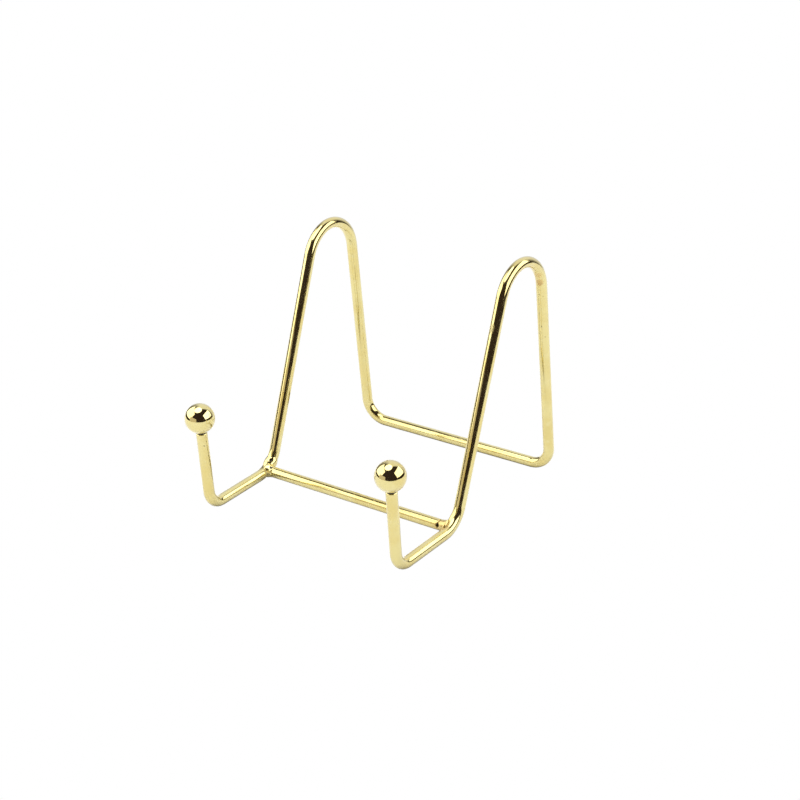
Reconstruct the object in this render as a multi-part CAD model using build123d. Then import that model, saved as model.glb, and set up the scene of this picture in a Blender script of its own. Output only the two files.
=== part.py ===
from build123d import *

import os
from math import cos, radians, sin, tan

# Tabletop display easel of bent round wire. Each side is an open loop: ball hook, foot, front leg, round
# top and rear leg. The two loops are one continuous wire with the rear floor bar. A straight crossbar is
# welded between them where the feet turn up into the front legs, and a drilled ball sits on each wire end.
#
# Millimetres and degrees. +X is the easel's right as seen from the front, +Y runs from the ball hooks
# to the rear bar, and +Z is up. The origin is on the surface it stands on, at the centre of its footprint.

# Stock
wire_diameter = 3.8
ball_diameter = 10.0

# Side profile of a loop, along the wire's centreline
leg_spread = 58.7  # rear bar to the corner where the foot meets the front leg
foot_length = 32.5  # that corner to the front corner
foot_rise = 2.2  # how much the foot climbs from the front corner to the front leg
front_leg_lean = 18.9  # backwards from upright
rear_leg_lean = 8.0  # forwards from upright
hook_lean = 5.6  # forwards from upright
hook_height = 33.0  # front corner to the ball's centre

# Centreline radii of the bends
hook_bend_radius = 6.0
leg_bend_radius = 10.1
top_bend_radius = 12.7
rear_bend_radius = 7.6

# Plan
rear_width = 78.1  # between the centrelines of the rear legs
toe_in = 0.7  # each loop turns in a little towards the front

# Crossbar and its welds
crossbar_reach = 61.9  # in front of the rear bar, just ahead of the corner of foot and front leg
crossbar_height = 3.75
weld_sink = 0.3  # how far each end of the crossbar melts into the loop
weld_root = 0.9  # from the loop's centreline to the outer end of the weld
weld_length = 3.1
weld_root_radius = 2.3
weld_shoulder_radius = 2.1
weld_shoulder_round = 0.18

# Balls
ball_hole_clearance = 0.02
ball_hole_chamfer = 0.35

wire_radius = wire_diameter / 2
ball_radius = ball_diameter / 2


def front_corner_height():
    """Height of the front corner that stands the hook bend's underside on the floor."""
    turn = 90 - hook_lean + foot_rise
    tangent = hook_bend_radius * tan(radians(turn / 2))
    dip = hook_bend_radius * (1 - cos(radians(foot_rise)))
    return wire_radius - tangent * sin(radians(foot_rise)) + dip


def loop_corners():
    """Corners of one loop as (reach in front of the rear bar, height), from the ball to the rear bar."""
    front = (leg_spread + foot_length, front_corner_height())
    ball = (front[0] + hook_height * tan(radians(hook_lean)), front[1] + hook_height)
    leg = (leg_spread, front[1] + foot_length * tan(radians(foot_rise)))
    front_slope = tan(radians(front_leg_lean))
    rear_slope = tan(radians(rear_leg_lean))
    top_rise = (leg[0] + front_slope * leg[1] + rear_slope * wire_radius) / (front_slope + rear_slope)
    top = ((top_rise - wire_radius) * rear_slope, top_rise)
    rear = (0, wire_radius)
    return [ball, front, leg, top, rear]


def rear_bar_y():
    """Y of the rear bar that centres the footprint between the balls' fronts and the bar's back."""
    ball_reach = loop_corners()[0][0] * cos(radians(toe_in))
    return (ball_reach + ball_radius - wire_radius) / 2


def loop_point(corner, side):
    """Place a loop corner in the easel, on the left (side -1) or right (side 1) loop."""
    reach, height = corner
    x = rear_width / 2 - reach * sin(radians(toe_in))
    y = rear_bar_y() - reach * cos(radians(toe_in))
    return Vector(side * x, y, height)


def frame_path():
    """Centreline of the continuous wire, from the left ball round both loops to the right ball."""
    corners = loop_corners()
    left = [loop_point(corner, -1) for corner in corners]
    right = [loop_point(corner, 1) for corner in reversed(corners)]
    bends = [hook_bend_radius, leg_bend_radius, top_bend_radius, rear_bend_radius]
    return FilletPolyline(*left, *right, radius=bends + bends[::-1])


def make_frame_wire():
    path = frame_path()
    start = Plane(origin=path @ 0, z_dir=path % 0)
    return sweep(start * Circle(wire_radius), path=path)


def crossbar_axis_point(side):
    """Point where the crossbar's axis meets a loop's centreline plane, inside the leg bend."""
    return loop_point((crossbar_reach, crossbar_height), side)


def make_front_crossbar(frame_wire):
    """Round bar with ends that sink a little into the loops that they are welded to."""
    half_length = crossbar_axis_point(1).X - wire_radius + weld_sink
    bar = Cylinder(wire_radius, 2 * half_length, rotation=(0, 90, 0))
    return Pos(0, crossbar_axis_point(1).Y, crossbar_height) * bar - frame_wire


def make_crossbar_weld(side, frame_wire, crossbar):
    """Collar of weld metal round one end of the crossbar, thickest where it meets the loop."""
    collar = Cone(
        weld_root_radius,
        weld_shoulder_radius,
        weld_length,
        align=(Align.CENTER, Align.CENTER, Align.MIN),
    )
    shoulder = collar.faces().sort_by(Axis.Z)[-1].edges()
    collar = fillet(shoulder, weld_shoulder_round)
    root = crossbar_axis_point(side) - Vector(side * weld_root, 0, 0)
    return Plane(origin=root, z_dir=(-side, 0, 0)) * collar - frame_wire - crossbar


def make_ball_tip(side):
    """Ball drilled to its centre for the wire's end, with the hole's mouth chamfered."""
    ball_corner, front_corner = loop_corners()[:2]
    centre = loop_point(ball_corner, side)
    hook_direction = loop_point(front_corner, side) - centre
    hole_radius = wire_radius + ball_hole_clearance
    mouth_depth = (ball_radius**2 - hole_radius**2) ** 0.5
    hole = Cylinder(hole_radius, ball_radius, align=(Align.CENTER, Align.CENTER, Align.MIN))
    chamfer = Pos(0, 0, mouth_depth - ball_hole_chamfer) * Cone(
        hole_radius,
        hole_radius + 2 * ball_hole_chamfer,
        2 * ball_hole_chamfer,
        align=(Align.CENTER, Align.CENTER, Align.MIN),
    )
    drilled = Sphere(ball_radius) - hole - chamfer
    return Plane(origin=centre, z_dir=hook_direction) * drilled


def make_parts():
    frame_wire = make_frame_wire()
    crossbar = make_front_crossbar(frame_wire)
    parts = {"frame_wire": frame_wire, "front_crossbar": crossbar}
    for name, side in (("left", -1), ("right", 1)):
        parts[f"{name}_ball_tip"] = make_ball_tip(side)
        parts[f"{name}_crossbar_weld"] = make_crossbar_weld(side, frame_wire, crossbar)
    return parts


os.makedirs("parts", exist_ok=True)
for node, shape in make_parts().items():
    shape.label = node
    export_step(shape, f"parts/{node}.step")
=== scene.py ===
import math

import bpy
from mathutils import Matrix, Vector, noise


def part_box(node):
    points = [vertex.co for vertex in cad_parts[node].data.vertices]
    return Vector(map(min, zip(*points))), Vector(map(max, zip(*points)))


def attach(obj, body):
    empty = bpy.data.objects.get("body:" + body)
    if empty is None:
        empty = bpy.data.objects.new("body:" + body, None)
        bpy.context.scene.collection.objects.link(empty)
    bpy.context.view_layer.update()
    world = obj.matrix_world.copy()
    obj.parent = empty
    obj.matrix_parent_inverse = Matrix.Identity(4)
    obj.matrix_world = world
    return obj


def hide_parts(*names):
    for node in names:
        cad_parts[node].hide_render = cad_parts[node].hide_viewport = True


# A bent-wire display easel in pale gold plating, on a white table between three softboxes.
# Metres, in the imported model's frame: +X is the easel's right, +Y runs from the hooks to the rear bar.

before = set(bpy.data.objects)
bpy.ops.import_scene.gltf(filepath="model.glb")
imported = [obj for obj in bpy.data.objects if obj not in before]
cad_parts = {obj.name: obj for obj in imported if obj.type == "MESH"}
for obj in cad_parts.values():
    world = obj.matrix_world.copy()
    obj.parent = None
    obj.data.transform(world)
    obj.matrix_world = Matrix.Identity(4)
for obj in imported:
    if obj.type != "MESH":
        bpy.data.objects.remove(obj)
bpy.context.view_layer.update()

MM = 0.001

# The wire's slopes, lengths and bends, as part.py has them
LEG_SPREAD = 58.7 * MM
FOOT_LENGTH = 32.5 * MM
FOOT_RISE = math.radians(2.2)
FRONT_LEG_LEAN = math.radians(18.9)
REAR_LEG_LEAN = math.radians(8.0)
HOOK_LEAN = math.radians(5.6)
HOOK_HEIGHT = 33.0 * MM
REAR_WIDTH = 78.1 * MM
TOE_IN = math.radians(0.7)
HOOK_BEND_RADIUS = 6.0 * MM
LEG_BEND_RADIUS = 10.1 * MM
TOP_BEND_RADIUS = 12.7 * MM
REAR_BEND_RADIUS = 7.6 * MM
WIRE_RADIUS = 1.9 * MM
BALL_RADIUS = 5.0 * MM

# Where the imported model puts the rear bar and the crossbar
REAR_BAR_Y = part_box("frame_wire")[1].y - WIRE_RADIUS
crossbar_low, crossbar_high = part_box("front_crossbar")
CROSSBAR_CENTRE = (crossbar_low + crossbar_high) / 2

# Camera, and where it stands as seen from the easel
CAMERA_PLACE = Vector((0.2975, -0.4102, 0.2481))
CAMERA_AZIMUTH = math.radians(35.09)
CAMERA_PITCH = math.radians(22.85)
CAMERA_LENS = 74.34
TOWARDS_CAMERA = Vector((math.sin(CAMERA_AZIMUTH), -math.cos(CAMERA_AZIMUTH), 0))
CAMERA_RIGHT = Vector((math.cos(CAMERA_AZIMUTH), math.sin(CAMERA_AZIMUTH), 0))

# Mesh fineness
RING_SEGMENTS = 48
STRAIGHT_STEP = 0.6 * MM
FINE_STEP = 0.12 * MM
BEND_STEP = math.radians(2)
WIRE_FINE_LENGTH = 6.5 * MM
CROSSBAR_FINE_LENGTH = 3.2 * MM
BALL_RINGS, BALL_SEGMENTS = 72, 96
WELD_SEGMENTS = 64


# ---------------------------------------------------------------- camera

def make_camera():
    camera = bpy.data.objects.new("camera", bpy.data.cameras.new("camera"))
    camera.data.sensor_width = 36
    camera.data.lens = CAMERA_LENS
    camera.data.clip_start = 0.01
    camera.location = CAMERA_PLACE
    camera.rotation_euler = (math.pi / 2 - CAMERA_PITCH, 0, CAMERA_AZIMUTH)
    bpy.context.collection.objects.link(camera)
    bpy.context.scene.camera = camera


# ---------------------------------------------------------------- wire route

def loop_corners():
    """Corners of one loop as (reach in front of the rear bar, height), from the ball to the rear bar."""
    turn = math.pi / 2 - HOOK_LEAN + FOOT_RISE
    tangent = HOOK_BEND_RADIUS * math.tan(turn / 2)
    front_height = (
        WIRE_RADIUS - tangent * math.sin(FOOT_RISE) + HOOK_BEND_RADIUS * (1 - math.cos(FOOT_RISE))
    )
    front = (LEG_SPREAD + FOOT_LENGTH, front_height)
    ball = (front[0] + HOOK_HEIGHT * math.tan(HOOK_LEAN), front_height + HOOK_HEIGHT)
    leg = (LEG_SPREAD, front_height + FOOT_LENGTH * math.tan(FOOT_RISE))
    front_slope = math.tan(FRONT_LEG_LEAN)
    rear_slope = math.tan(REAR_LEG_LEAN)
    top_height = (leg[0] + front_slope * leg[1] + rear_slope * WIRE_RADIUS) / (front_slope + rear_slope)
    top = ((top_height - WIRE_RADIUS) * rear_slope, top_height)
    rear = (0, WIRE_RADIUS)
    return [ball, front, leg, top, rear]


def loop_point(corner, side):
    """Place a loop corner in the easel, on the left (side -1) or right (side 1) loop."""
    reach, height = corner
    x = REAR_WIDTH / 2 - reach * math.sin(TOE_IN)
    return Vector((side * x, REAR_BAR_Y - reach * math.cos(TOE_IN), height))


def rounded_path(corners, radii):
    """Points along straight runs joined by arcs of the given radii at the inner corners."""
    points = [corners[0]]
    run_start = corners[0]
    for before, corner, after, radius in zip(corners, corners[1:], corners[2:], radii):
        back = (before - corner).normalized()
        ahead = (after - corner).normalized()
        half = back.angle(ahead) / 2
        start = corner + back * radius / math.tan(half)
        centre = corner + (back + ahead).normalized() * radius / math.sin(half)
        add_run(points, run_start, start)
        turn = math.pi - 2 * half
        axis = back.cross(ahead).normalized()
        steps = math.ceil(turn / BEND_STEP)
        for step in range(1, steps + 1):
            swing = Matrix.Rotation(-turn * step / steps, 3, axis)
            points.append(centre + swing @ (start - centre))
        run_start = points[-1]
    add_run(points, run_start, corners[-1])
    return points


def add_run(points, start, end, spacing=STRAIGHT_STEP):
    steps = max(1, math.ceil((end - start).length / spacing))
    for step in range(1, steps + 1):
        points.append(start.lerp(end, step / steps))


def fine_ended(points, length):
    """The same route with closely spaced points over a length at each end, for the detail there."""
    made = [points[0]]
    total = route_length(points)
    travelled = 0
    for before, after in zip(points, points[1:]):
        travelled += (after - before).length
        if travelled < length or travelled > total - length:
            add_run(made, before, after, FINE_STEP)
        else:
            made.append(after)
    return made


def route_length(points):
    return sum((after - before).length for before, after in zip(points, points[1:]))


def wire_path():
    corners = loop_corners()
    left = [loop_point(corner, -1) for corner in corners]
    right = [loop_point(corner, 1) for corner in reversed(corners)]
    bends = [HOOK_BEND_RADIUS, LEG_BEND_RADIUS, TOP_BEND_RADIUS, REAR_BEND_RADIUS]
    return fine_ended(rounded_path(left + right, bends + bends[::-1]), WIRE_FINE_LENGTH)


def smooth(value, low, high):
    """0 below low, 1 above high and an even curve between them."""
    share = min(1, max(0, (value - low) / (high - low)))
    return share * share * (3 - 2 * share)


# ---------------------------------------------------------------- meshes

SEED_STEPS = (17.3, 5.1, 9.7)


def unevenness(point, size, seed):
    """Smooth noise from -1 to 1 with features about `size` across."""
    return noise.noise(point / size + Vector([seed * step for step in SEED_STEPS]))


def add_piece(name, vertices, faces, uvs, material, node):
    mesh = bpy.data.meshes.new(name)
    mesh.from_pydata(vertices, [], faces)
    layer = mesh.uv_layers.new(name="around_along")
    for loop_index, uv in enumerate(uvs):
        layer.data[loop_index].uv = uv
    mesh.polygons.foreach_set("use_smooth", [True] * len(mesh.polygons))
    mesh.materials.append(material)
    piece = bpy.data.objects.new(name, mesh)
    bpy.context.collection.objects.link(piece)
    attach(piece, "root")
    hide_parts(node)


def ring_faces(rings, segments, lengths):
    """Quads between successive rings, with uvs of turns around and metres along."""
    faces = []
    uvs = []
    for ring in range(rings - 1):
        for k in range(segments):
            following = (k + 1) % segments
            base, above = ring * segments, (ring + 1) * segments
            faces.append((base + k, base + following, above + following, above + k))
            u0, u1 = k / segments, (k + 1) / segments
            v0, v1 = lengths[ring], lengths[ring + 1]
            uvs += [(u0, v0), (u1, v0), (u1, v1), (u0, v1)]
    return faces, uvs


def tube(name, points, relief, material, node):
    """A round wire along points, which strays sideways a little and whose skin moves out by relief()."""
    tangents = []
    for index in range(len(points)):
        before = points[max(0, index - 1)]
        after = points[min(len(points) - 1, index + 1)]
        tangents.append((after - before).normalized())
    normal = tangents[0].orthogonal().normalized()
    vertices = []
    lengths = []
    travelled = 0
    total = route_length(points)
    for index, (point, tangent) in enumerate(zip(points, tangents)):
        if index:
            travelled += (point - points[index - 1]).length
        normal = (normal - tangent * normal.dot(tangent)).normalized()
        binormal = tangent.cross(normal)
        stray = Vector([unevenness(point, STRAY_SIZE, seed) for seed in STRAY_SEEDS]) * WIRE_STRAY
        from_end = min(travelled, total - travelled)
        for k in range(RING_SEGMENTS):
            angle = math.tau * k / RING_SEGMENTS
            outward = normal * math.cos(angle) + binormal * math.sin(angle)
            skin = point + outward * (WIRE_RADIUS - SKIN_MARGIN)
            vertices.append(skin + stray + outward * relief(skin, outward, from_end))
        lengths.append(travelled)
    faces, uvs = ring_faces(len(points), RING_SEGMENTS, lengths)
    first = list(range(RING_SEGMENTS))[::-1]
    last = [(len(points) - 1) * RING_SEGMENTS + k for k in range(RING_SEGMENTS)]
    faces += [first, last]
    uvs += [(0, 0)] * RING_SEGMENTS + [(0, travelled)] * RING_SEGMENTS
    add_piece(name, vertices, faces, uvs, material, node)


def lathe(name, profile, origin, axis, segments, relief, material, node):
    """A closed turned shape, from its profile of (along, radius) and relief(), which moves its skin."""
    side = axis.orthogonal().normalized()
    other = axis.cross(side)
    vertices = [origin + axis * profile[0][0]]
    for along, radius in profile[1:-1]:
        for k in range(segments):
            angle = math.tau * k / segments
            outward = side * math.cos(angle) + other * math.sin(angle)
            point = origin + axis * along + outward * radius
            vertices.append(point + relief(point, along, outward))
    vertices.append(origin + axis * profile[-1][0])
    last = len(vertices) - 1
    rings = len(profile) - 2
    lengths = [0]
    for (a0, r0), (a1, r1) in zip(profile[1:-1], profile[2:-1]):
        lengths.append(lengths[-1] + math.hypot(a1 - a0, r1 - r0))
    faces, uvs = ring_faces(rings, segments, lengths)
    faces = [tuple(index + 1 for index in face) for face in faces]
    for k in range(segments):
        following = (k + 1) % segments
        faces.append((0, 1 + following, 1 + k))
        top = 1 + (rings - 1) * segments
        faces.append((last, top + k, top + following))
        u0, u1 = k / segments, (k + 1) / segments
        uvs += [(u0, 0), (u1, 0), (u0, 0), (u0, lengths[-1]), (u0, lengths[-1]), (u1, lengths[-1])]
    add_piece(name, vertices, faces, uvs, material, node)


# ---------------------------------------------------------------- shapes of the pieces

# Unevenness of the drawn wire and of the balls
WIRE_STRAY, STRAY_SIZE, STRAY_SEEDS = 0.012 * MM, 14 * MM, (1, 2, 3)
WIRE_SWELL, SWELL_SIZE = 0.004 * MM, 5 * MM
BALL_WOBBLE, WOBBLE_SIZE = 0.003 * MM, 4 * MM
SKIN_MARGIN = 0.012 * MM  # keeps the unevenness inside the CAD's box

# Open seam in the wire under each ball, measured from the ball's centre
SEAM_DEPTH = 0.38 * MM
SEAM_START, SEAM_END = 4.35 * MM, 5.38 * MM

# Weld metal swells the loops, and a groove runs over the crossbar beside each weld
COLLAR_CENTRE = Vector((-38.32, -10.50, 5.35)) * MM
COLLAR_ALONG = Vector((0, math.cos(math.radians(50)), math.sin(math.radians(50))))
COLLAR_REACH = 1.85 * MM
COLLAR_HEIGHT = 0.40 * MM
COLLAR_SHARE_RIGHT = 0.5
BEAD_TOE = 4.05 * MM
RIM_DEPTH = 0.55 * MM
RIM_SHARE_LEFT = 0.35
CROSSBAR_INSET = 1.6 * MM  # from a loop's centreline to the crossbar's hidden end

# Outline of a weld in mm, as (distance from the joint, radius), and the height of its lumps
WELD_OUTLINE = [
    (0.90, 2.50), (1.20, 2.47), (1.50, 2.41), (1.80, 2.33), (2.05, 2.24), (2.30, 2.16), (2.55, 2.08),
    (2.80, 2.02), (3.05, 1.97), (3.30, 1.93), (3.50, 1.885), (3.68, 1.82), (3.82, 1.73), (3.93, 1.60),
    (4.00, 1.42),
]
WELD_LUMP = 0.08 * MM
WELD_RIPPLE = 0.025 * MM

# Pits in the weld metal, as (place, radius); the plating also paints them dark, as painted shade
WELD_PIT_DEPTH = 0.22 * MM
WELD_PITS = [
    (Vector((34.38, -14.88, 4.25)) * MM, 0.75 * MM),
    (Vector((-35.25, -13.75, 5.50)) * MM, 0.60 * MM),
    (Vector((-37.22, -11.45, 6.95)) * MM, 0.68 * MM),
]


def joint(side):
    """Where the crossbar's axis meets a loop's centreline."""
    x = REAR_WIDTH / 2 - (REAR_BAR_Y - CROSSBAR_CENTRE.y) * math.tan(TOE_IN)
    return Vector((side * x, CROSSBAR_CENTRE.y, CROSSBAR_CENTRE.z))


def pit_depth(skin):
    """How far the weld's pits sink the surface at a point."""
    depth = 0
    for place, radius in WELD_PITS:
        distance = (skin - place).length + 0.06 * MM * unevenness(skin, 0.5 * MM, 21)
        depth += WELD_PIT_DEPTH * (1 - smooth(distance, radius * 0.4, radius * 1.15))
    return depth


def frame_relief(skin, outward, from_end):
    """Slight unevenness, the open seam under each ball and the weld metal that wets the loops."""
    height = WIRE_SWELL * unevenness(skin, SWELL_SIZE, 4)
    seam = smooth(from_end, SEAM_START, SEAM_START + 0.1 * MM)
    seam *= 1 - smooth(from_end, SEAM_END - 0.14 * MM, SEAM_END + 0.04 * MM)
    height -= SEAM_DEPTH * seam
    side = 1 if skin.x > 0 else -1
    centre = Vector((side * abs(COLLAR_CENTRE.x), COLLAR_CENTRE.y, COLLAR_CENTRE.z))
    along = (skin - centre).dot(COLLAR_ALONG) / COLLAR_REACH
    along += 0.10 * unevenness(skin, 1.8 * MM, 9)
    if abs(along) < 1:
        swelling = (1 - along * along) * (1 + 0.22 * unevenness(skin, 1.5 * MM, 11))
        wrap = 1 if side < 0 else COLLAR_SHARE_RIGHT * smooth(-outward.x, 0.3, 0.8)
        height += COLLAR_HEIGHT * swelling * wrap
    return height - pit_depth(skin)


def crossbar_relief(skin, outward, from_end):
    """Slight unevenness, and upper ends drawn in to leave a groove beside the weld."""
    height = WIRE_SWELL * unevenness(skin, SWELL_SIZE, 5)
    to_joint = joint(1).x - abs(skin.x)
    edge = BEAD_TOE + 0.10 * MM * unevenness(outward * 2 * MM, 2 * MM, 12)
    drawn_in = 1 - smooth(to_joint, edge - 0.32 * MM, edge + 0.10 * MM)
    facing_up = smooth(outward.z, -0.35, 0.05)
    left_share = 1 if skin.x > 0 else RIM_SHARE_LEFT
    height -= RIM_DEPTH * drawn_in * facing_up * left_share
    return height - pit_depth(skin)


def make_ball(side, material):
    ball, front = loop_corners()[:2]
    centre = loop_point(ball, side)
    axis = (loop_point(front, side) - centre).normalized()
    hole = WIRE_RADIUS + 0.02 * MM
    chamfer = 0.35 * MM
    lip = math.asin((hole + chamfer) / BALL_RADIUS)
    profile = []
    for step in range(BALL_RINGS + 1):
        angle = math.pi - (math.pi - lip) * step / BALL_RINGS
        profile.append((BALL_RADIUS * math.cos(angle), BALL_RADIUS * math.sin(angle)))
    mouth = profile[-1][0]
    profile.append((mouth - 0.08 * MM, hole + chamfer * 0.72))
    profile.append((mouth - 0.3 * MM, hole))
    profile.append((0.5 * MM, hole))
    profile.append((0.4 * MM, 0))

    def relief(point, along, outward):
        if along > mouth - 0.05 * MM:
            return Vector((0, 0, 0))
        return (point - centre).normalized() * BALL_WOBBLE * (unevenness(point, WOBBLE_SIZE, 6) - 1)

    name = "right" if side > 0 else "left"
    lathe(
        f"{name}_ball", profile, centre, axis, BALL_SEGMENTS, relief, material, f"{name}_ball_tip",
    )


def make_weld(side, material):
    """Weld metal between the crossbar's end and the loop: a neck that flares out on to the loop."""
    axis = Vector((-side, 0, 0))
    skin = [(along * MM, radius * MM) for along, radius in WELD_OUTLINE]
    profile = [(skin[0][0], 0)] + skin + [(skin[-1][0], 0)]
    seed = 7 if side > 0 else 8

    def relief(point, along, outward):
        free = 1 - smooth(along, 3.2 * MM, 3.95 * MM)
        coarse = WELD_LUMP * unevenness(point, 1.7 * MM, seed)
        fine = WELD_RIPPLE * unevenness(point, 0.8 * MM, seed)
        return outward * ((coarse + fine) * free - pit_depth(point))

    name = "right" if side > 0 else "left"
    lathe(
        f"{name}_weld", profile, joint(side), axis, WELD_SEGMENTS, relief, material,
        f"{name}_crossbar_weld",
    )


# ---------------------------------------------------------------- materials

class Shader:
    """Short calls for building the node tree of a material or a world."""

    def __init__(self, owner, output="OutputMaterial"):
        owner.use_nodes = True
        self.nodes = owner.node_tree.nodes
        self.links = owner.node_tree.links
        self.nodes.clear()
        self.output = self.node(output)

    def node(self, kind, inputs=None, **settings):
        made = self.nodes.new("ShaderNode" + kind)
        for key, value in settings.items():
            setattr(made, key, value)
        for key, value in (inputs or {}).items():
            self.put(made.inputs[key], value)
        return made

    def put(self, socket, value):
        if isinstance(value, bpy.types.NodeSocket):
            self.links.new(value, socket)
        else:
            socket.default_value = value

    def noise(self, vector, scale, detail=2.0, roughness=0.5):
        made = self.node(
            "TexNoise", {"Vector": vector, "Scale": scale, "Detail": detail, "Roughness": roughness},
        )
        return made.outputs["Fac"]

    def ramp(self, value, low, high, out_low=0.0, out_high=1.0):
        made = self.node(
            "MapRange",
            {"Value": value, "From Min": low, "From Max": high, "To Min": out_low, "To Max": out_high},
            interpolation_type="SMOOTHSTEP",
        )
        return made.outputs["Result"]

    def math(self, operation, first, second=0.0, third=0.0):
        made = self.node("Math", {0: first, 1: second, 2: third}, operation=operation)
        return made.outputs[0]

    def mix(self, share, first, second):
        made = self.node("Mix", {"Factor": share, 6: first, 7: second}, data_type="RGBA")
        return made.outputs[2]

    def blot(self, position, place, radius, edge):
        """1 inside a ragged blot of the surface near place, and 0 outside it."""
        offset = self.node("VectorMath", {0: position, 1: place}, operation="SUBTRACT").outputs[0]
        distance = self.node("VectorMath", {0: offset}, operation="LENGTH").outputs["Value"]
        ragged = self.math("MULTIPLY_ADD", edge, radius * 1.1, distance)
        return self.ramp(ragged, radius * 0.95, radius * 1.75, 1.0, 0.0)


PALE_GOLD = (0.80, 0.70, 0.31, 1)
DEEP_GOLD = (0.76, 0.63, 0.235, 1)
SOFT_GOLD = (0.84, 0.755, 0.40, 1)
TARNISH = (0.16, 0.105, 0.04, 1)
FLUX_BROWN = (0.62, 0.36, 0.10, 1)
# Painted shade for the gap under each ball, the groove by the right weld and the weld's pits, and the
# colour of real pits in the plating
SHADE_AND_PIT_DARK = (0.035, 0.022, 0.006, 1)

# Scales of the plating's textures, in features per metre, and per turn for the lines around the wire
DRIFT_SCALE = 90
CLOUD_SCALE = 420
PEEL_SCALE = 620
PIT_SCALE = 900
EDGE_SCALE = 1500
GRAIN_SCALE = 3200
LINES_SCALE = (70, 90, 1)

PIT_DEPTH = 18e-6
BLOT_HEIGHT = 14e-6
BURN_ROUGHENING = 0.22
SEAM_ROUGHENING = 0.4


def plated_gold(name, polish, peel, pit_amount, blots=(), burns=(), shade_and_pit_marks=()):
    """Bright gold plating with drifting tone, drawing lines, orange peel, pits and blemishes.

    polish is its roughness, peel the height of its orange peel in metres and pit_amount the share of
    cells that hold a pit. blots are (place, radius, roughening, darkening), burns (place, radius, amount)
    and the last argument holds (centre, reach) of dark marks: painted shade in the gap under each ball,
    in the groove beside the right weld and in the weld's pits, and the real pits in the plating.
    """
    material = bpy.data.materials.new(name)
    s = Shader(material)
    position = s.node("TexCoord").outputs["Object"]
    along = s.node("UVMap", uv_map="around_along").outputs["UV"]

    drift = s.noise(position, DRIFT_SCALE, 3)
    cloud = s.noise(position, CLOUD_SCALE, 4, 0.6)
    grain = s.noise(position, GRAIN_SCALE, 3, 0.65)
    edge = s.noise(position, EDGE_SCALE, 4, 0.6)

    # Drawing lines run along the wire: fine around it, long along it
    stretched = s.node("Mapping", {"Vector": along, "Scale": LINES_SCALE}).outputs["Vector"]
    lines = s.noise(stretched, 1, 3, 0.6)

    colour = s.mix(s.ramp(drift, 0.35, 0.65), PALE_GOLD, DEEP_GOLD)
    colour = s.mix(s.ramp(cloud, 0.52, 0.75, 0.0, 0.5), colour, SOFT_GOLD)

    # Pits: a few random cells hold a small dark dot
    cells = s.node("TexVoronoi", {"Vector": position, "Scale": PIT_SCALE, "Randomness": 1.0})
    chosen = s.node("SeparateColor", {"Color": cells.outputs["Color"]}).outputs[0]
    dot = s.ramp(cells.outputs["Distance"], 0.10, 0.20, 1.0, 0.0)
    pits = s.math("MULTIPLY", dot, s.ramp(chosen, 1 - pit_amount, 1 - pit_amount * 0.6))

    roughness = s.ramp(cloud, 0.3, 0.75, polish * 0.7, polish * 1.5)
    roughness = s.math("MULTIPLY_ADD", lines, polish * 0.5, roughness)
    roughness = s.math("MULTIPLY_ADD", pits, 0.35, roughness)
    height = s.math("MULTIPLY", s.noise(position, PEEL_SCALE, 2), peel)
    height = s.math("MULTIPLY_ADD", lines, peel * 0.12, height)
    height = s.math("MULTIPLY_ADD", grain, peel * 0.05, height)
    height = s.math("MULTIPLY_ADD", pits, -PIT_DEPTH, height)
    colour = s.mix(s.math("MULTIPLY", pits, 0.75), colour, TARNISH)

    for place, radius, roughen, darken in blots:
        mark = s.blot(position, place, radius, s.math("SUBTRACT", edge, 0.5))
        speckle = s.ramp(grain, 0.42, 0.6)
        marked = s.math("MULTIPLY", mark, speckle)
        roughness = s.math("MULTIPLY_ADD", mark, roughen, roughness)
        height = s.math("MULTIPLY_ADD", marked, BLOT_HEIGHT, height)
        colour = s.mix(s.math("MULTIPLY", marked, darken), colour, TARNISH)
    for place, radius, amount in burns:
        mark = s.blot(position, place, radius, s.math("SUBTRACT", edge, 0.5))
        colour = s.mix(s.math("MULTIPLY", mark, amount), colour, FLUX_BROWN)
        roughness = s.math("MULTIPLY_ADD", mark, BURN_ROUGHENING, roughness)

    # Dark marks: painted shade in the gap under each ball, in the groove by the right weld and in the
    # weld's pits, and real pits in the plating
    for centre, reach in shade_and_pit_marks:
        offset = s.node("VectorMath", {0: position, 1: centre}, operation="SUBTRACT").outputs[0]
        distance = s.node("VectorMath", {0: offset}, operation="LENGTH").outputs["Value"]
        ragged = s.math("MULTIPLY_ADD", s.math("SUBTRACT", edge, 0.5), 0.16 * MM, distance)
        seam = s.ramp(ragged, reach - 0.08 * MM, reach + 0.05 * MM, 1.0, 0.0)
        colour = s.mix(seam, colour, SHADE_AND_PIT_DARK)
        roughness = s.math("MULTIPLY_ADD", seam, SEAM_ROUGHENING, roughness)

    bump = s.node("Bump", {"Strength": 1.0, "Distance": 1.0, "Height": height}).outputs["Normal"]
    gold = s.node(
        "BsdfPrincipled",
        {"Base Color": colour, "Metallic": 1.0, "Roughness": roughness, "Normal": bump,
         "Coat Weight": 1.0, "Coat Roughness": 0.04, "Coat IOR": 1.5},
    )
    s.links.new(gold.outputs[0], s.output.inputs["Surface"])
    return material


# ---------------------------------------------------------------- studio

def direction(azimuth, elevation):
    """Unit vector for degrees to the camera's right of the way to the camera, and above the horizon."""
    a, e = math.radians(azimuth), math.radians(elevation)
    level = TOWARDS_CAMERA * math.cos(a) + CAMERA_RIGHT * math.sin(a)
    return level * math.cos(e) + Vector((0, 0, math.sin(e)))


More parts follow.
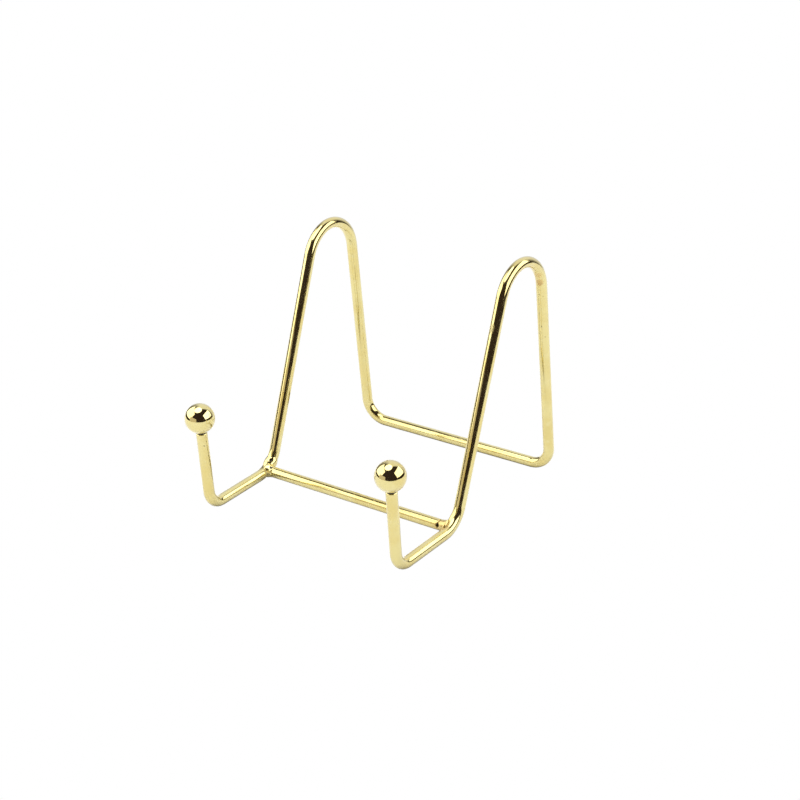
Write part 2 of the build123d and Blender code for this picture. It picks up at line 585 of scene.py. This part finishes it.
def softbox(name, place, target, shape, width, height, radiance, tint):
    light = bpy.data.lights.new(name, "AREA")
    light.shape = shape
    light.size = width
    light.size_y = height
    area = width * height * (math.pi / 4 if shape == "ELLIPSE" else 1)
    light.energy = radiance * math.pi * area
    light.color = tint
    lamp = bpy.data.objects.new(name, light)
    lamp.location = place
    lamp.rotation_euler = (place - target).to_track_quat("Z", "Y").to_euler()
    lamp.visible_camera = False
    bpy.context.collection.objects.link(lamp)


def stage_sheet(name, corners, material, seen_by_camera, seen_in_metal, lit):
    mesh = bpy.data.meshes.new(name)
    mesh.from_pydata(corners, [], [tuple(range(len(corners)))])
    mesh.materials.append(material)
    sheet = bpy.data.objects.new(name, mesh)
    bpy.context.collection.objects.link(sheet)
    sheet.visible_camera = seen_by_camera
    sheet.visible_glossy = seen_in_metal
    sheet.visible_diffuse = lit
    sheet.visible_shadow = lit
    sheet.visible_transmission = lit


TABLE_ALBEDO = 0.61
# Reach and samples of the painted contact shadow on the table
CONTACT_SHADOW, SHADOW_SAMPLES = 7 * MM, 16
DARK_ROOM = (0.032, 0.021, 0.020, 1)
SOFTBOX_DISTANCE = 0.6
WARM_WHITE = (1.0, 0.98, 0.90)
NEAR_WHITE = (1.0, 1.0, 0.98)


def floor_material():
    """White table that is overexposed to the camera and shows its soft shadows in the metal, with painted
    contact shadow darkening its colour near the easel.
    """
    material = bpy.data.materials.new("white_table")
    s = Shader(material)
    position = s.node("TexCoord").outputs["Object"]
    grain = s.ramp(s.noise(position, 900, 3), 0.3, 0.7, TABLE_ALBEDO * 0.97, TABLE_ALBEDO * 1.03)
    # Painted contact shadow: ambient occlusion darkens the table's colour where the easel is near
    occlusion = s.node("AmbientOcclusion", {"Distance": CONTACT_SHADOW}, samples=SHADOW_SAMPLES)
    nearness = occlusion.outputs["AO"]
    grain = s.math("MULTIPLY", grain, s.ramp(nearness, 0.2, 0.85, 0.68, 1.0))
    grey = s.node("CombineColor", {0: grain, 1: grain, 2: grain}).outputs[0]
    matt = s.node("BsdfDiffuse", {"Color": grey})
    white = s.node("Emission", {"Color": (1, 1, 1, 1), "Strength": 1.0})
    seen = s.node("LightPath").outputs["Is Camera Ray"]
    both = s.node("MixShader", {0: seen, 1: matt.outputs[0], 2: white.outputs[0]})
    s.links.new(both.outputs[0], s.output.inputs["Surface"])
    return material


def glow_material(name, colour, strength):
    material = bpy.data.materials.new(name)
    s = Shader(material)
    glow = s.node("Emission", {"Color": colour, "Strength": strength})
    s.links.new(glow.outputs[0], s.output.inputs["Surface"])
    return material


def make_world():
    """White to the camera. To the metal: pale walls behind the easel and a dark room round the camera."""
    world = bpy.data.worlds.new("studio")
    bpy.context.scene.world = world
    s = Shader(world, "OutputWorld")

    sky = s.node("TexCoord").outputs["Generated"]
    turned = s.node(
        "VectorRotate", {"Vector": sky, "Axis": (0, 0, 1), "Angle": math.pi / 2 - CAMERA_AZIMUTH},
        rotation_type="AXIS_ANGLE",
    ).outputs[0]
    parts = s.node("SeparateXYZ", {0: turned})
    azimuth = s.math("DEGREES", s.math("ARCTAN2", parts.outputs["Y"], parts.outputs["X"]))
    elevation = s.math("DEGREES", s.math("ARCSINE", parts.outputs["Z"]))

    left_edge = s.ramp(azimuth, -180, -136)
    right_edge = s.ramp(azimuth, 112, 136, 1.0, 0.0)
    dark = s.math("MULTIPLY", left_edge, right_edge)

    wall = s.ramp(elevation, 0, 40, 0.80, 0.97)
    pale = s.node("CombineColor", {0: wall, 1: wall, 2: wall}).outputs[0]
    room = s.mix(dark, pale, DARK_ROOM)
    in_metal = s.node("LightPath").outputs["Is Glossy Ray"]
    colour = s.mix(in_metal, (0.85, 0.85, 0.85, 1), room)
    by_camera = s.node("LightPath").outputs["Is Camera Ray"]
    colour = s.mix(by_camera, colour, (1, 1, 1, 1))
    background = s.node("Background", {"Color": colour, "Strength": 1.0})
    s.links.new(background.outputs[0], s.output.inputs["Surface"])


def make_studio():
    bpy.context.scene.view_settings.view_transform = "Standard"
    make_world()
    table = floor_material()

    def spot(right, towards, height=0.0):
        return CAMERA_RIGHT * right + TOWARDS_CAMERA * towards + Vector((0, 0, height))

    left, right, near, far = -0.32, 0.335, 0.29, -2.0
    stage_sheet(
        "studio_floor", [spot(left, near), spot(right, near), spot(right, far), spot(left, far)],
        table, seen_by_camera=True, seen_in_metal=True, lit=True,
    )
    half = 2.5
    below = -0.5 * MM
    stage_sheet(
        "studio_floor_round",
        [spot(-half, half, below), spot(half, half, below), spot(half, -half, below),
         spot(-half, -half, below)],
        table, seen_by_camera=True, seen_in_metal=False, lit=False,
    )
    card = glow_material("tan_card", (0.88, 0.78, 0.66, 1), 0.80)
    stage_sheet(
        "studio_card",
        [spot(-0.152, 0.274), spot(-0.265, 0.085), spot(-0.265, 0.085, 0.118),
         spot(-0.152, 0.274, 0.105)],
        card, seen_by_camera=False, seen_in_metal=True, lit=False,
    )
    middle = Vector((0, -0.02, 0.03))
    softbox(
        "softbox_left", middle + direction(-98, 30) * SOFTBOX_DISTANCE, middle, "RECTANGLE", 0.83, 0.56,
        2.0, WARM_WHITE,
    )
    softbox(
        "softbox_right", middle + direction(79, 30) * SOFTBOX_DISTANCE, middle, "RECTANGLE", 0.79, 0.45,
        2.2, NEAR_WHITE,
    )
    softbox(
        "softbox_above", spot(-0.223, 0.04, 0.95), spot(-0.223, 0.04), "ELLIPSE", 0.80, 0.80, 2.5,
        NEAR_WHITE,
    )


# ---------------------------------------------------------------- easel

# Rough or tarnished patches, as (place, radius, roughening, darkening)
BLOTS = [
    (Vector((38.30, 9.55, 65.60)) * MM, 0.75 * MM, 0.20, 0.45),
    (Vector((38.35, 9.20, 64.50)) * MM, 0.55 * MM, 0.20, 0.45),
    (Vector((39.45, 36.85, 72.85)) * MM, 0.40 * MM, 0.14, 0.45),
]

# Pits on the right rear leg and the left hook, as (place, radius)
WIRE_PITS = [
    (Vector((39.16, 37.46, 68.79)) * MM, 0.14 * MM),
    (Vector((40.22, 38.03, 68.28)) * MM, 0.12 * MM),
    (Vector((39.38, 39.15, 57.03)) * MM, 0.17 * MM),
    (Vector((40.30, 40.19, 53.35)) * MM, 0.17 * MM),
    (Vector((-36.40, -45.89, 25.34)) * MM, 0.19 * MM),
]

# Brown heat marks, as (place, radius, amount)
REAR_LEG_SMUDGES = [
    (Vector((39.35, 35.50, 76.20)) * MM, 0.95 * MM, 0.35),
    (Vector((39.35, 36.70, 73.30)) * MM, 0.95 * MM, 0.60),
]
JOINT_BURN = (joint(1) - Vector((2.2, 1.4, 0.2)) * MM, 2.3 * MM, 0.40)

# How far the painted shade reaches from the balls' centres, over the gap under each ball, and from a
# point by the right weld, over the groove there
BALL_PAINTED_SHADE_REACH = 5.58 * MM
CROSSBAR_PAINTED_SHADE_CENTRE = joint(1) - Vector((4.0 * MM, 0, 0))
CROSSBAR_PAINTED_SHADE_REACH = 1.70 * MM


def make_easel():
    ball_corner = loop_corners()[0]
    # Painted shade in the gap under each ball, in the groove by the right weld and in the weld's pits;
    # the wire's real pits are added below
    shade_and_pit_marks = [(loop_point(ball_corner, side), BALL_PAINTED_SHADE_REACH) for side in (-1, 1)]
    shade_and_pit_marks.append((CROSSBAR_PAINTED_SHADE_CENTRE, CROSSBAR_PAINTED_SHADE_REACH))
    shade_and_pit_marks += [(place, radius * 0.9) for place, radius in WELD_PITS]
    wire_gold = plated_gold(
        "plated_wire", polish=0.09, peel=3e-6, pit_amount=0.008, blots=BLOTS,
        burns=[JOINT_BURN] + REAR_LEG_SMUDGES, shade_and_pit_marks=shade_and_pit_marks + WIRE_PITS,
    )
    ball_gold = plated_gold("plated_ball", polish=0.05, peel=2e-6, pit_amount=0.006)
    weld_gold = plated_gold(
        "plated_weld", polish=0.11, peel=7e-6, pit_amount=0.03, burns=[JOINT_BURN], shade_and_pit_marks=shade_and_pit_marks,
    )
    tube("easel_wire", wire_path(), frame_relief, wire_gold, "frame_wire")
    inset = Vector((CROSSBAR_INSET, 0, 0))
    bar = [joint(-1) + inset]
    add_run(bar, bar[0], joint(1) - inset)
    bar = fine_ended(bar, CROSSBAR_FINE_LENGTH)
    tube("easel_crossbar", bar, crossbar_relief, wire_gold, "front_crossbar")
    for side in (-1, 1):
        make_ball(side, ball_gold)
        make_weld(side, weld_gold)


make_camera()
make_easel()
make_studio()
